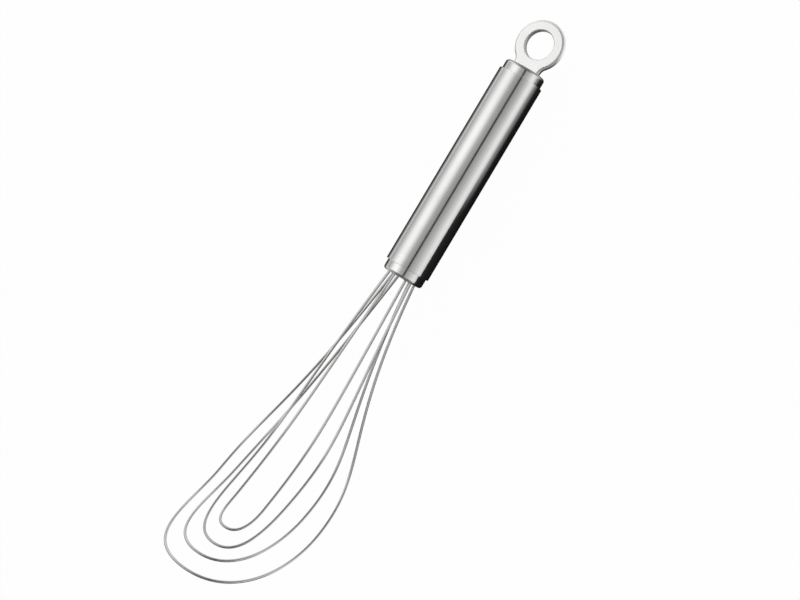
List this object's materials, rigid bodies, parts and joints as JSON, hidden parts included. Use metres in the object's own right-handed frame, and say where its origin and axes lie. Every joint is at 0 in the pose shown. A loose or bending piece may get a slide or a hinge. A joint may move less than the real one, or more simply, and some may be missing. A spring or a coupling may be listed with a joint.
{
  "type": "flat whisk",
  "caption": "Flat whisk: nested wire loops that curve upwards from a round steel handle with a flat hanging ring.",
  "frame": {"origin": "centre of the bounding box's bottom face; the handle's axis is 10 mm above it", "axes": "+Y along the handle's axis towards the hanging ring, the loops towards -Y; +Z towards the side to which the loops curve; the whisk mirrors about X = 0"},
  "size_m": [0.0566, 0.2696, 0.0479],
  "materials": {
    "handle_tube_steel": "satin, ground round the tube",
    "ring_end_cap_steel": "satin, turned",
    "whisk_end_cap_steel": "satin, turned",
    "hanging_ring_steel": "fine satin, tumbled edges",
    "wire_holder_nylon": "moulded, hidden inside the cap",
    "resin_seal_resin": "cast, hidden inside the tube",
    "outer_loop_wire": "drawn spring wire, polished",
    "second_loop_wire": "drawn spring wire, polished",
    "third_loop_wire": "drawn spring wire, polished",
    "inner_loop_wire": "drawn spring wire, polished"
  },
  "bodies": {
    "root": {"handle_tube": "handle_tube_steel", "ring_end_cap": "ring_end_cap_steel", "whisk_end_cap": "whisk_end_cap_steel", "hanging_ring": "hanging_ring_steel", "wire_holder": "wire_holder_nylon", "resin_seal": "resin_seal_resin", "outer_loop": "outer_loop_wire", "second_loop": "second_loop_wire", "third_loop": "third_loop_wire", "inner_loop": "inner_loop_wire"}
  },
  "joints": []
}
